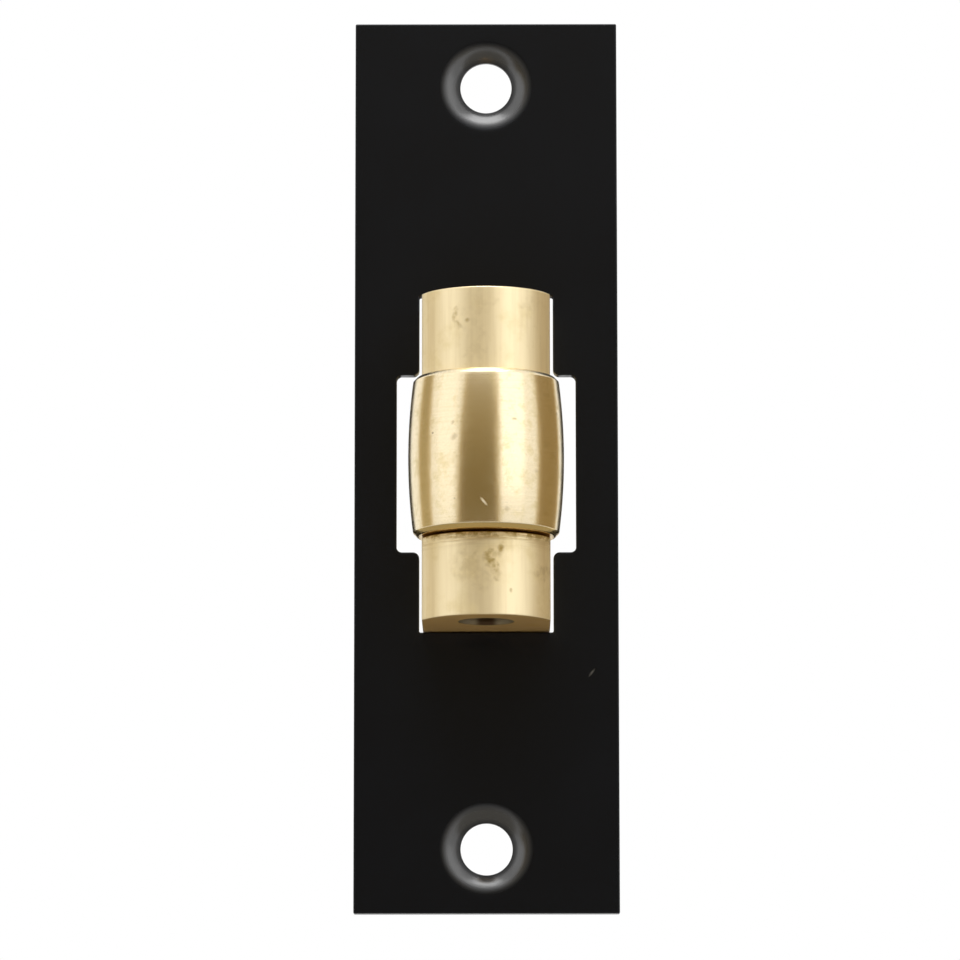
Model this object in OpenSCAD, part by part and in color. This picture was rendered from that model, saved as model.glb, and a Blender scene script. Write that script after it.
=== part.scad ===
// Roller bolt for a door edge. A brass bolt bar with a crowned roller in its nose slides
// through a black face plate. Two guide rods carry the bar in an open steel strap, springs on
// the rods push it out, and nuts on the rods stop it.
// Millimetres. X runs across the plate, +Y into the door and +Z up. The origin is midway
// between the two fixing holes, on the back face of the plate.

/* [Face plate] */
// Width of the face plate
plate_w = 25; // [22:0.5:32]
// Height of the face plate
plate_h = 85.4; // [78:0.2:100]
// Thickness of the face plate
plate_t = 1.5; // [1.4:0.1:3]
// Distance from the plate's end to the middle of a fixing hole
fixing_inset = 6.1; // [5.2:0.1:9]
// Diameter of a fixing hole
fixing_d = 4.9; // [4:0.1:5.4]
// Diameter of a fixing hole's dished countersink at the face
fixing_sink_d = 8.8; // [8.2:0.1:10]
// Radius of the round that leads from the face into the countersink's 90 degree cone
fixing_round = 2; // [0.5:0.1:2.3]
// Radius of the corners at the ends of the slot for the bar
slot_r = 0.15; // [0.05:0.05:0.6]
// Radius of the corners of the window for the roller
window_r = 0.5; // [0.2:0.05:0.6]

/* [Bolt bar] */
// Thickness of the bar across the plate
bolt_w = 12; // [10:0.1:13]
// Length of the bar along the plate
bolt_h = 30.9; // [28:0.1:35]
// How far the bar's nose stands in front of the plate
bolt_projection = 12; // [9:0.1:14]
// How far the rounded nose stands in front of the bar's flat sides
nose_rise = 4.2; // [2:0.1:4.8]
// How far the bar reaches behind the plate
bolt_tail = 6; // [4:0.5:10]
// How far the bar hangs below the middle of its opening, by its play
bolt_drop = 0.6; // [0.2:0.05:0.8]

/* [Roller] */
// Diameter of the roller at its middle
roller_d = 14.6; // [13:0.1:16]
// Length of the roller
roller_len = 15; // [12:0.1:17]
// How much smaller the roller's radius is at its ends
roller_crown = 0.45; // [0.2:0.05:1]
// Width of the chamfer on the roller's ends
roller_chamfer = 0.4; // [0.2:0.1:1]
// Distance from the bar's nose back to the axle's middle
axle_setback = 5.1; // [4:0.1:7]
// Diameter of the axle pin
axle_d = 4.5; // [3:0.1:5.5]
// Depth of the axle pin's ends below the bar's ends
axle_recess = 0.5; // [0.2:0.1:1.5]
// How far a fully pressed roller still stands in front of the plate
pressed_stand = 1.2; // [0.5:0.1:4]

/* [Guide rods] */
// Diameter of a guide rod
rod_d = 4; // [3:0.1:4.6]
// Distance from the bar's end to the middle of a rod
rod_inset = 5.5; // [5:0.1:6.5]
// Depth of a rod's seat in the back of the bar
rod_seat = 7; // [4:0.5:7.5]
// Length of rod that stands out of its lock nut
rod_end = 1.5; // [0.5:0.1:5]
// Chamfer on a rod's ends
rod_chamfer = 0.4; // [0.2:0.1:0.8]

/* [Springs] */
// Diameter of the spring wire
wire_d = 0.8; // [0.6:0.05:1.1]
// Number of turns in a spring, its two closed ends included
spring_turns = 11; // [8:0.5:13]
// Spring length left over when the bar is fully pressed
spring_reserve = 1.3; // [0.5:0.1:4]

/* [Strap] */
// Width of the steel strap
strap_w = 12; // [11:0.5:12.5]
// Thickness of the steel strap
strap_t = 2; // [1.5:0.1:3]
// Inside radius of the strap's bends
bend_r = 1.5; // [1:0.1:3]

/* [Rivets] */
// Diameter of a rivet's shank
rivet_d = 3; // [2.5:0.1:3.4]
// Distance between the two rivets of a foot
rivet_spread = 6; // [5.2:0.1:6.6]
// Diameter of a rivet's 90 degree flush head
rivet_head_d = 4.6; // [4.2:0.1:5]
// Diameter of a rivet's round tail
rivet_tail_d = 4.6; // [4.2:0.1:5]
// Height of a rivet's round tail
rivet_tail_h = 1.2; // [0.8:0.1:2]

/* [Nuts and washers] */
// Diameter of a washer
washer_d = 8; // [7.5:0.1:9]
// Thickness of a washer
washer_t = 0.8; // [0.5:0.1:1.5]
// Width of a nut across its flats
nut_af = 7; // [6.6:0.1:8]
// Thickness of a stop nut
nut_t = 3.2; // [2.4:0.1:5]
// Thickness of a lock nut
lock_nut_t = 2.2; // [1.8:0.1:4]

/* [Clearances] */
// Gap between the bar's flat side and its slot
side_gap = 0.35; // [0.15:0.05:0.6]
// Gap between the bar's lower end and its slot
slide_gap = 0.1; // [0.05:0.05:0.5]
// Gap between the roller's crown and its window
window_side_gap = 1.2; // [0.8:0.1:2]
// Gap between the roller's lower end and its window
window_end_gap = 0.4; // [0.2:0.05:1]
// Gap between the roller and each cheek of its notch
roller_float = 0.15; // [0.05:0.05:0.5]
// Gap between the roller's crown and the floor of its notch
notch_floor_gap = 0.7; // [0.3:0.1:1.5]
// Gap between the slot's end and the strap's arm
arm_gap = 0.2; // [0.1:0.1:1]
// Gap between a rod and its hole in the strap, below the rod
rod_gap = 0.2; // [0.1:0.05:0.6]
// Gap between a rod and the inside of its spring
spring_rod_gap = 0.55; // [0.3:0.05:0.7]
// Gap between a spring and the face that it presses on
spring_seat_gap = 0.05; // [0.02:0.01:0.2]
// Gap round the axle pin in the roller
running_gap = 0.05; // [0.02:0.01:0.1]
// Gap round a piece that is pressed, screwed or riveted in
fixed_gap = 0.02; // [0.01:0.01:0.05]

/* [Hidden] */
$fn = 96;
upper = 1;
lower = -1;
// how far a cutting tool runs past the face that it cuts
overcut = 0.5;
// depth and width of the riveting dimple in the axle pin's ends
axle_dimple = [0.8, 3.1];
// chamfer on the axle pin's ends and at the mouths of its holes
axle_chamfer = 0.3;
// share of a hexagon's corner that its 30 degree chamfer takes off
nut_corner_slope = tan(30);
// radius that rounds the plate where the slot meets the window
step_r = 0.6;
// flat strap beside a rivet's tail, towards the bend and towards the foot's end
tail_to_bend = 0.3;
tail_to_end = 1;

// Places along Y
face_y = -plate_t;
nose_y = face_y - bolt_projection;
axle_y = nose_y + axle_setback;
travel = -(axle_y - roller_d / 2) + face_y - pressed_stand;
spring_bay = spring_turns * wire_d + travel + spring_reserve;
back_y = bolt_tail + spring_bay;
washer_y = back_y + strap_t;
nut_y = washer_y + washer_t;
lock_nut_y = nut_y + nut_t;
rod_end_y = lock_nut_y + lock_nut_t + rod_end;

// Sizes of the opening, which leaves room for the bar and its roller to hang low
slot_w = bolt_w + 2 * side_gap;
slot_h = bolt_h + 2 * (bolt_drop + slide_gap);
window_w = roller_d + 2 * window_side_gap;
window_h = roller_len + 2 * (bolt_drop + window_end_gap);
notch_h = roller_len + 2 * roller_float;
notch_floor_y = axle_y + roller_d / 2 + notch_floor_gap;

// Places along Z
fixing_z = plate_h / 2 - fixing_inset;
bolt_z = -bolt_drop;
rod_offset = bolt_h / 2 - rod_inset;
arm_z = slot_h / 2 + arm_gap;
foot_flat_z = arm_z + strap_t + bend_r;
rivet_z = foot_flat_z + rivet_tail_d / 2 + tail_to_bend;
foot_end_z = rivet_z + rivet_tail_d / 2 + tail_to_end;

nose_r = (pow(bolt_w / 2, 2) + pow(nose_rise, 2)) / (2 * nose_rise);
rod_hole_d = rod_d + 2 * (bolt_drop + rod_gap);
coil_r = rod_d / 2 + spring_rod_gap + wire_d / 2;

// Turns what is drawn along Z so that it runs along +Y
module along_y() rotate([-90, 0, 0]) children();

// Puts a turned piece on the line of the upper or the lower guide rod
module on_rod(side, y) translate([0, y, bolt_z + side * rod_offset]) along_y() children();

// A rectangle with round corners, centred
module round_rect(w, h, r) {
    square([w - 2 * r, h], center = true);
    square([w, h - 2 * r], center = true);
    for (x = [-1, 1], y = [-1, 1])
        translate([x * (w / 2 - r), y * (h / 2 - r)]) circle(r);
}

// Half of a turned pin's outline, with a chamfer at each end
module pin_outline(r, length, chamfer) polygon([
    [0, 0], [r - chamfer, 0], [r, chamfer],
    [r, length - chamfer], [r - chamfer, length], [0, length]
]);

// The opening that is punched in the plate: a slot for the bar and a window for the roller
module opening_outline() {
    round_rect(slot_w, slot_h, slot_r);
    round_rect(window_w, window_h, window_r);
    for (x = [-1, 1], z = [-1, 1])
        scale([x, z]) translate([slot_w / 2, window_h / 2]) difference() {
            translate([-step_r, -step_r]) square(2 * step_r);
            translate([step_r, step_r]) circle(step_r);
        }
}

// Half of what a fixing hole takes out of the plate, with its depth to the right of the axis
module fixing_hole_outline() {
    mouth_r = fixing_sink_d / 2;
    cone_depth = mouth_r - fixing_round * tan(22.5) - fixing_d / 2;
    difference() {
        polygon([
            [0, -overcut], [mouth_r, -overcut], [mouth_r, 0],
            [mouth_r - fixing_round * sin(45), fixing_round * (1 - cos(45))],
            [fixing_d / 2, cone_depth], [fixing_d / 2, plate_t + overcut], [0, plate_t + overcut]
        ]);
        translate([mouth_r, fixing_round]) circle(fixing_round);
    }
}

// A straight hole for a rivet, with a 90 degree countersink in the face
module sunk_hole(d, sink_d) {
    sink = (sink_d - d) / 2;
    translate([0, face_y - overcut, 0]) along_y() {
        cylinder(d = d, h = plate_t + 2 * overcut);
        cylinder(d1 = sink_d + 2 * overcut, d2 = d, h = sink + overcut);
    }
}

module face_plate() color("#1c1c1e") difference() {
    rotate([90, 0, 0]) linear_extrude(plate_t) difference() {
        square([plate_w, plate_h], center = true);
        opening_outline();
    }
    for (side = [lower, upper]) {
        translate([0, face_y, side * fixing_z]) along_y() rotate_extrude()
            fixing_hole_outline();
        for (x = [-1, 1])
            translate([x * rivet_spread / 2, 0, side * rivet_z])
                sunk_hole(rivet_d + 2 * fixed_gap, rivet_head_d + 2 * fixed_gap);
    }
}

// A quarter of a bent strip: its inside radius is bend_r, about the origin
module bend_outline() difference() {
    intersection() {
        circle(bend_r + strap_t);
        square(bend_r + strap_t);
    }
    circle(bend_r);
}

// Upper half of the strap seen from its side, with Y to the right: a foot on the plate, an
// arm, and half of the back that joins the arms
module strap_half_outline() {
    arm_start = strap_t + bend_r;
    arm_end = back_y - bend_r;
    translate([0, foot_flat_z]) square([strap_t, foot_end_z - foot_flat_z]);
    translate([arm_start, foot_flat_z]) rotate(180) bend_outline();
    translate([arm_start, arm_z]) square([arm_end - arm_start, strap_t]);
    translate([arm_end, arm_z - bend_r]) bend_outline();
    translate([back_y, 0]) square([strap_t, arm_z - bend_r]);
}

module strap() color("#1c1c1e") difference() {
    translate([-strap_w / 2, 0, 0]) rotate([90, 0, 90]) linear_extrude(strap_w) {
        strap_half_outline();
        mirror([0, 1]) strap_half_outline();
    }
    for (side = [lower, upper]) {
        translate([0, back_y - overcut, side * rod_offset]) along_y()
            cylinder(d = rod_hole_d, h = strap_t + 2 * overcut);
        for (x = [-1, 1])
            translate([x * rivet_spread / 2, -overcut, side * rivet_z]) along_y()
                cylinder(d = rivet_d + 2 * fixed_gap, h = strap_t + 2 * overcut);
    }
}

// A countersunk rivet, flush in the face, with its tail formed round on the strap's foot
module rivet(side, x_side) {
    sink = (rivet_head_d - rivet_d) / 2;
    tail_r = (pow(rivet_tail_d / 2, 2) + pow(rivet_tail_h, 2)) / (2 * rivet_tail_h);
    grip = plate_t + strap_t;
    place = [x_side * rivet_spread / 2, face_y, side * rivet_z];
    color("#1c1c1e") translate(place) along_y() {
        cylinder(d1 = rivet_head_d, d2 = rivet_d, h = sink);
        cylinder(d = rivet_d, h = grip);
        intersection() {
            translate([0, 0, grip + rivet_tail_h - tail_r]) sphere(tail_r);
            translate([0, 0, grip]) cylinder(d = rivet_tail_d, h = rivet_tail_h);
        }
    }
}

// The bar's section, seen from above: flat sides and a round nose
module bar_outline() {
    flat_y = nose_y + nose_rise;
    translate([-bolt_w / 2, flat_y]) square([bolt_w, bolt_tail - flat_y]);
    intersection() {
        translate([0, nose_y + nose_r]) circle(nose_r);
        translate([-bolt_w / 2, nose_y]) square([bolt_w, nose_rise]);
    }
}

module bolt_bar() color("#d2b67a") difference() {
    translate([0, 0, bolt_z - bolt_h / 2]) linear_extrude(bolt_h) bar_outline();
    // notch for the roller
    translate([-bolt_w / 2 - overcut, nose_y - overcut, bolt_z - notch_h / 2])
        cube([bolt_w + 2 * overcut, notch_floor_y - nose_y + overcut, notch_h]);
    // axle hole through both cheeks, with a chamfer at each mouth
    translate([0, axle_y, bolt_z - bolt_h / 2 - overcut])
        cylinder(d = axle_d + 2 * fixed_gap, h = bolt_h + 2 * overcut);
    for (side = [lower, upper])
        translate([0, axle_y, bolt_z + side * (bolt_h / 2 + overcut)])
            rotate([side == upper ? 180 : 0, 0, 0])
                cylinder(
                    d1 = axle_d + 2 * (axle_chamfer + overcut),
                    d2 = axle_d,
                    h = axle_chamfer + overcut
                );
    // seats for the guide rods
    for (side = [lower, upper])
        on_rod(side, bolt_tail - rod_seat)
            cylinder(d = rod_d + 2 * fixed_gap, h = rod_seat + overcut);
}

module axle_pin() color("#c2a566") {
    length = bolt_h - 2 * axle_recess;
    translate([0, axle_y, bolt_z]) difference() {
        translate([0, 0, -length / 2]) rotate_extrude()
            pin_outline(axle_d / 2, length, axle_chamfer);
        for (side = [lower, upper])
            translate([0, 0, side * length / 2]) rotate([side == upper ? 180 : 0, 0, 0])
                cylinder(d1 = axle_dimple[1], d2 = 0, h = axle_dimple[0]);
    }
}

// Half of the roller's outline, with an arc of a large circle as its crown
module roller_outline() {
    crown_h = roller_len / 2 - roller_chamfer;
    crown_r = (pow(crown_h, 2) + pow(roller_crown, 2)) / (2 * roller_crown);
    end_r = roller_d / 2 - roller_crown;
    bore_r = axle_d / 2 + running_gap;
    polygon([
        [bore_r, -roller_len / 2], [end_r - roller_chamfer, -roller_len / 2],
        [end_r, -crown_h], [end_r, crown_h],
        [end_r - roller_chamfer, roller_len / 2], [bore_r, roller_len / 2]
    ]);
    intersection() {
        translate([roller_d / 2 - crown_r, 0]) circle(crown_r, $fn = 720);
        translate([bore_r + 1, -crown_h]) square([roller_d / 2 - bore_r, 2 * crown_h]);
    }
}

module roller() color("#c9a75c")
    translate([0, axle_y, bolt_z]) rotate_extrude() roller_outline();

module guide_rod(side) color("#b4b6b6")
    on_rod(side, bolt_tail - rod_seat) rotate_extrude()
        pin_outline(rod_d / 2, rod_end_y - bolt_tail + rod_seat, rod_chamfer);

// Height of the wire's middle after some turns: the end turns lie closed, the rest are open
function coil_height(turn, length) =
    turn <= 1 ? wire_d * (0.5 + turn)
    : turn >= spring_turns - 1 ? length - wire_d * (0.5 + spring_turns - turn)
    : wire_d * 1.5 + (length - 3 * wire_d) * (turn - 1) / (spring_turns - 2);

// A compression spring along +Z from the origin: rings of wire_sides points, one ring after
// another along the helix
module coil_spring(length, wire_sides = 8, rings_per_turn = 18) {
    rings = round(spring_turns * rings_per_turn);
    points = [
        for (i = [0:rings])
            let (turn = spring_turns * i / rings, height = coil_height(turn, length))
            for (j = [0:wire_sides - 1])
                let (
                    spin = 360 * j / wire_sides,
                    r = coil_r + wire_d / 2 * cos(spin)
                )
                [r * cos(360 * turn), r * sin(360 * turn), height + wire_d / 2 * sin(spin)]
    ];
    sides = [
        for (i = [0:rings - 1], j = [0:wire_sides - 1])
            let (a = i * wire_sides + j, b = i * wire_sides + (j + 1) % wire_sides)
            each [
                [a, b, b + wire_sides],
                [a, b + wire_sides, a + wire_sides]
            ]
    ];
    first_end = [for (j = [wire_sides - 1:-1:0]) j];
    last_end = [for (j = [0:wire_sides - 1]) rings * wire_sides + j];
    polyhedron(points, concat(sides, [first_end, last_end]));
}

module guide_spring(side) color("#9fa1a3")
    on_rod(side, bolt_tail + spring_seat_gap)
        coil_spring(spring_bay - 2 * spring_seat_gap);

module washer(side) color("#c2c4c4")
    on_rod(side, washer_y) difference() {
        cylinder(d = washer_d, h = washer_t);
        translate([0, 0, -overcut])
            cylinder(d = rod_d + 2 * fixed_gap, h = washer_t + 2 * overcut);
    }

// A hexagon nut whose corners are turned off at 30 degrees, on one face or on both
module hex_nut(thickness, both_faces) {
    corner_r = nut_af / 2 / cos(30);
    drop = (corner_r - nut_af / 2) * nut_corner_slope;
    base = both_faces ? drop : 0;
    base_r = both_faces ? nut_af / 2 : corner_r;
    difference() {
        intersection() {
            cylinder(r = corner_r, h = thickness, $fn = 6);
            rotate_extrude() polygon([
                [0, 0], [base_r, 0], [corner_r, base],
                [corner_r, thickness - drop], [nut_af / 2, thickness], [0, thickness]
            ]);
        }
        translate([0, 0, -overcut])
            cylinder(d = rod_d + 2 * fixed_gap, h = thickness + 2 * overcut);
    }
}

module stop_nut(side) color("#c2c4c4") on_rod(side, nut_y) hex_nut(nut_t, false);

module lock_nut(side) color("#c2c4c4") on_rod(side, lock_nut_y) hex_nut(lock_nut_t, true);

face_plate();
strap();
rivet(upper, -1);  // rivet_upper_left
rivet(upper, 1);  // rivet_upper_right
rivet(lower, -1);  // rivet_lower_left
rivet(lower, 1);  // rivet_lower_right
bolt_bar();
axle_pin();
roller();
guide_rod(upper);  // guide_rod_upper
guide_rod(lower);  // guide_rod_lower
guide_spring(upper);  // spring_upper
guide_spring(lower);  // spring_lower
washer(upper);  // washer_upper
washer(lower);  // washer_lower
stop_nut(upper);  // stop_nut_upper
stop_nut(lower);  // stop_nut_lower
lock_nut(upper);  // lock_nut_upper
lock_nut(lower);  // lock_nut_lower
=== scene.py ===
# Roller bolt for a door edge: a black face plate, a brass bolt bar with a crowned roller in its
# nose, and behind them the strap, springs, guide rods, washers and nuts.
# Shapes are worked out in numpy in millimetres and turned to metres where the mesh is made.
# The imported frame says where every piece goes, and mesh surfaces that touch are welded.
import math

import bmesh
import bpy
import numpy as np
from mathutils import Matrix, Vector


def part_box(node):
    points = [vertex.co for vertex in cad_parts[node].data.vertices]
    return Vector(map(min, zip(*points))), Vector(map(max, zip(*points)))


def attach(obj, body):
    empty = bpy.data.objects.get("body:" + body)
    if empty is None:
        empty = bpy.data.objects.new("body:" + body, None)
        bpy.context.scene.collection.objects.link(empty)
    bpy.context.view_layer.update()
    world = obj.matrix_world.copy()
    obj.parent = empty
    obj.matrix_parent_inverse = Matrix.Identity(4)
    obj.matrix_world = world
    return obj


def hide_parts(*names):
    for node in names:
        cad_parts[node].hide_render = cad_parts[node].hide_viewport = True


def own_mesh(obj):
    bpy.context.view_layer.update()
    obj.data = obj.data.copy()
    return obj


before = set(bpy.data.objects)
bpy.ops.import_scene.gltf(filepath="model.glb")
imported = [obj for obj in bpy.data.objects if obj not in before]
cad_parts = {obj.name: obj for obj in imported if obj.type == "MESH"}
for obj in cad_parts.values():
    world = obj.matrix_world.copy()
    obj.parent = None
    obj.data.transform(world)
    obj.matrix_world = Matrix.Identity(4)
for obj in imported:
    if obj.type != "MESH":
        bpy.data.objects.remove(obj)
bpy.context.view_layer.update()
mm = 0.001


def nodeBox(name):
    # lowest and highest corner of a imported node, in millimetres
    return [np.array(corner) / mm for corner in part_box(name)]


def nodeMiddle(name):
    low, high = nodeBox(name)
    return (low + high) / 2


# Shapes


def unit(vectors):
    # each vector divided by its own length
    return vectors / np.maximum(np.linalg.norm(vectors, axis=-1, keepdims=True), 1e-12)


def roundedLine(corners, radii, steps=6):
    # Every corner of a closed line becomes an arc of steps + 1 points. The arc's centre lies on
    # the bisector, radius / sin(half angle) from the corner, and the radius swings from its foot
    # on one side to its foot on the other. A corner with no radius stays as it is.
    corner = np.asarray(corners, float)
    radius = np.broadcast_to(np.asarray(radii, float), len(corner))[:, None]
    before = unit(np.roll(corner, 1, 0) - corner)
    after = unit(np.roll(corner, -1, 0) - corner)
    half = np.arccos(np.clip((before * after).sum(1), -1, 1))[:, None] / 2
    half = np.maximum(half, 1e-9)
    centre = corner + unit(before + after) * radius / np.sin(half)
    footA = (corner + before * radius / np.tan(half) - centre)[:, None]
    footB = (corner + after * radius / np.tan(half) - centre)[:, None]
    turn = (math.pi - 2 * half)[:, None]
    share = np.linspace(0, 1, steps + 1)[None, :, None]
    whole = np.maximum(np.sin(turn), 1e-9)
    swung = (np.sin((1 - share) * turn) * footA + np.sin(share * turn) * footB) / whole
    return (centre[:, None] + swung).reshape(-1, corner.shape[1])


def gridFaces(rows, columns, wrapRows, wrapColumns):
    # corner numbers of each cell of a grid whose point (i, j) has the number i * columns + j
    i = np.arange(rows if wrapRows else rows - 1)[:, None]
    j = np.arange(columns if wrapColumns else columns - 1)[None, :]
    nextI, nextJ = (i + 1) % rows, (j + 1) % columns
    corners = [i * columns + j, i * columns + nextJ, nextI * columns + nextJ, nextI * columns + j]
    return np.stack(np.broadcast_arrays(*corners), -1).reshape(-1, 4)


def surfaceMesh(name, surfaces):
    # surfaces: (points, wrapRows, wrapColumns), each a grid of points of shape (rows, columns, 3).
    # Points that fall together are welded, which closes seams, poles and shared edges.
    points, faces, count = [], [], 0
    for grid, wrapRows, wrapColumns in surfaces:
        points.append(grid.reshape(-1, 3))
        faces.append(gridFaces(grid.shape[0], grid.shape[1], wrapRows, wrapColumns) + count)
        count += points[-1].shape[0]
    mesh = bpy.data.meshes.new(name)
    mesh.from_pydata((np.concatenate(points) * mm).tolist(), [], np.concatenate(faces).tolist())
    shell = bmesh.new()
    shell.from_mesh(mesh)
    bmesh.ops.remove_doubles(shell, verts=shell.verts, dist=0.0004 * mm)
    bmesh.ops.recalc_face_normals(shell, faces=shell.faces)
    shell.to_mesh(mesh)
    shell.free()
    return mesh


def turnedSurface(profile, centre, axis="y", segments=96, closed=False):
    # point (i, j) = centre + radius i across the axis at angle j + height i along the axis
    profile = np.asarray(profile, float)
    angle = np.linspace(0, 2 * math.pi, segments, endpoint=False)
    radius, height = profile[:, :1], profile[:, 1:] + 0 * angle
    first, second = radius * np.cos(angle), radius * np.sin(angle)
    order = {"y": (first, height, second), "z": (first, second, height)}[axis]
    return np.stack(order, -1) + np.asarray(centre, float), closed, True


def finishPiece(name, mesh, material, body, replaced, sharpAngle=33):
    # puts the mesh in the scene, shades it smooth up to sharpAngle and lets it ride on its body
    mesh.materials.clear()
    mesh.materials.append(material)
    mesh.shade_smooth()
    mesh.set_sharp_from_angle(angle=math.radians(sharpAngle))
    piece = bpy.data.objects.new(name, mesh)
    bpy.context.scene.collection.objects.link(piece)
    weighted = piece.modifiers.new("even shading on flats", "WEIGHTED_NORMAL")
    weighted.keep_sharp = True
    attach(piece, body)
    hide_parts(*replaced)
    return piece


def cutAway(mesh, surfaces):
    # takes the closed cutting surfaces out of a closed mesh
    blank = bpy.data.objects.new("blank", mesh)
    tool = bpy.data.objects.new("tool", surfaceMesh("tool", surfaces))
    bpy.context.scene.collection.objects.link(blank)
    bpy.context.scene.collection.objects.link(tool)
    cut = blank.modifiers.new("cut", "BOOLEAN")
    cut.operation, cut.solver, cut.object = "DIFFERENCE", "EXACT", tool
    graph = bpy.context.evaluated_depsgraph_get()
    result = bpy.data.meshes.new_from_object(blank.evaluated_get(graph))
    result.name = mesh.name
    for used in (blank, tool):
        bpy.data.objects.remove(used)
    return result


# Materials


def linearColour(hexColour, alpha=1.0):
    # sRGB hex to linear light
    part = np.array([int(hexColour[i : i + 2], 16) / 255 for i in (1, 3, 5)])
    light = np.where(part <= 0.04045, part / 12.92, ((part + 0.055) / 1.055) ** 2.4)
    return (*light.tolist(), alpha)


def addNode(tree, kind, settings=None, links=None):
    # adds a node, sets its properties or input sockets, and links outputs into its inputs
    made = tree.nodes.new(kind)
    for key, value in (settings or {}).items():
        if isinstance(key, str) and hasattr(made, key):
            setattr(made, key, value)
        else:
            made.inputs[key].default_value = value
    for key, output in (links or {}).items():
        tree.links.new(output, made.inputs[key])
    return made


def newMaterial(name, **shader):
    # a material with one Principled BSDF, and object coordinates in millimetres
    material = bpy.data.materials.new(name)
    material.use_nodes = True
    tree = material.node_tree
    surface = tree.nodes["Principled BSDF"]
    for key, value in shader.items():
        surface.inputs[key.replace("_", " ")].default_value = value
    place = addNode(tree, "ShaderNodeTexCoord").outputs["Object"]
    inMm = addNode(
        tree, "ShaderNodeVectorMath", {"operation": "SCALE", "Scale": 1 / mm}, {0: place}
    ).outputs[0]
    return material, tree, surface, inMm


def stretched(tree, place, scale):
    # the coordinates multiplied by scale along X, Y and Z
    return addNode(
        tree, "ShaderNodeMapping", {"vector_type": "POINT", "Scale": scale}, {"Vector": place}
    ).outputs[0]


def noiseAt(tree, place, scale, detail=2.0, roughness=0.5):
    settings = {"Scale": scale, "Detail": detail, "Roughness": roughness}
    return addNode(tree, "ShaderNodeTexNoise", settings, {"Vector": place}).outputs["Fac"]


def banded(tree, value, low, high, floor=0.0, ceiling=1.0):
    # value mapped smoothly from low..high onto floor..ceiling
    settings = {
        "interpolation_type": "SMOOTHSTEP",
        "From Min": low,
        "From Max": high,
        "To Min": floor,
        "To Max": ceiling,
    }
    return addNode(tree, "ShaderNodeMapRange", settings, {"Value": value}).outputs["Result"]


def blended(tree, share, first, second, mode="MIX"):
    # first turns into second as share goes from 0 to 1; each is a colour or an output
    mix = addNode(tree, "ShaderNodeMix", {"data_type": "RGBA", "blend_type": mode})
    for index, value in ((0, share), (6, first), (7, second)):
        if isinstance(value, bpy.types.NodeSocket):
            tree.links.new(value, mix.inputs[index])
        else:
            mix.inputs[index].default_value = value
    return mix.outputs[2]


def calculated(tree, operation, *values):
    made = addNode(tree, "ShaderNodeMath", {"operation": operation})
    for index, value in enumerate(values):
        if isinstance(value, bpy.types.NodeSocket):
            tree.links.new(value, made.inputs[index])
        else:
            made.inputs[index].default_value = value
    return made.outputs[0]


def smear(tree, place, mark, push=0.0):
    # 1 inside an ellipse round the mark's centre, turned about Y by turn degrees, fading out at its
    # rim, which push, a noise less its middle, moves about
    centre, turn, length, width, ragged = mark
    settings = {
        "vector_type": "TEXTURE",
        "Location": centre,
        "Rotation": (0, math.radians(turn), 0),
        "Scale": (width / 2, 2, length / 2),
    }
    local = addNode(tree, "ShaderNodeMapping", settings, {"Vector": place}).outputs[0]
    away = addNode(tree, "ShaderNodeVectorMath", {"operation": "LENGTH"}, {0: local})
    away = calculated(tree, "MULTIPLY_ADD", push, ragged, away.outputs["Value"])
    return banded(tree, away, 1.35, 0.15)


def smeared(tree, place, marks):
    # the strongest of several marks, each with its own strength as its last value, broken up into
    # patches as a dried smear is
    push = calculated(tree, "SUBTRACT", noiseAt(tree, place, 1.5, 2), 0.5)
    total = 0.0
    for mark in marks:
        spot = calculated(tree, "MULTIPLY", smear(tree, place, mark[:-1], push), mark[-1])
        total = calculated(tree, "MAXIMUM", spot, total)
    patch = banded(tree, noiseAt(tree, place, 1.1, 3), 0.38, 0.58, 0.4, 1)
    return calculated(tree, "MULTIPLY", total, patch)


def lowerShare(tree, place):
    # 0 above the part's middle and 1 below it
    z = addNode(tree, "ShaderNodeSeparateXYZ", None, {0: place}).outputs["Z"]
    return banded(tree, z, 0, -1)


def offAxis(tree, place, scale, centre):
    # distance from centre, in millimetres, along the axes that scale doesn't put to 0
    beside = addNode(
        tree, "ShaderNodeVectorMath", {"operation": "SUBTRACT", 1: centre}, {0: place}
    ).outputs[0]
    kept = stretched(tree, beside, scale)
    return addNode(tree, "ShaderNodeVectorMath", {"operation": "LENGTH"}, {0: kept}).outputs["Value"]


def heightFrom(tree, place, middle):
    # distance above or below middle, in millimetres
    z = addNode(tree, "ShaderNodeSeparateXYZ", None, {0: place}).outputs["Z"]
    return calculated(tree, "ABSOLUTE", calculated(tree, "SUBTRACT", z, middle))


def bumped(tree, surface, layers):
    # layers of height, each an output, its depth in millimetres and its strength
    normal = {}
    for height, depth, strength in layers:
        settings = {"Strength": strength, "Distance": depth * mm}
        bump = addNode(tree, "ShaderNodeBump", settings, {"Height": height, **normal})
        normal = {"Normal": bump.outputs[0]}
    tree.links.new(normal["Normal"], surface.inputs["Normal"])


# Black satin powder coat on steel: a thick baked coat, so it rounds every edge a little and has a
# very fine orange peel. The eye sees near black with a soft grey sheen where it bends. Each dished
# hole has a ring of lighter, partly metallic grey: worn coat and a painted sheen, so the dishes shine
# more than the flat. A small nick shows at lower right.
coat = {
    "colour": "#080d15",
    "cloud": "#0b1018",
    # grey of the ring in each dish: worn coat with a painted sheen
    "wornSheenGrey": "#6a6a6a",
    "roughness": 0.26,
    "shine": 0.3,
    "peelMm": 0.45,
    "nick": ((9.93, -1.5, -20.0), 38, 0.9, 0.22, 0.0),
}


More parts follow.
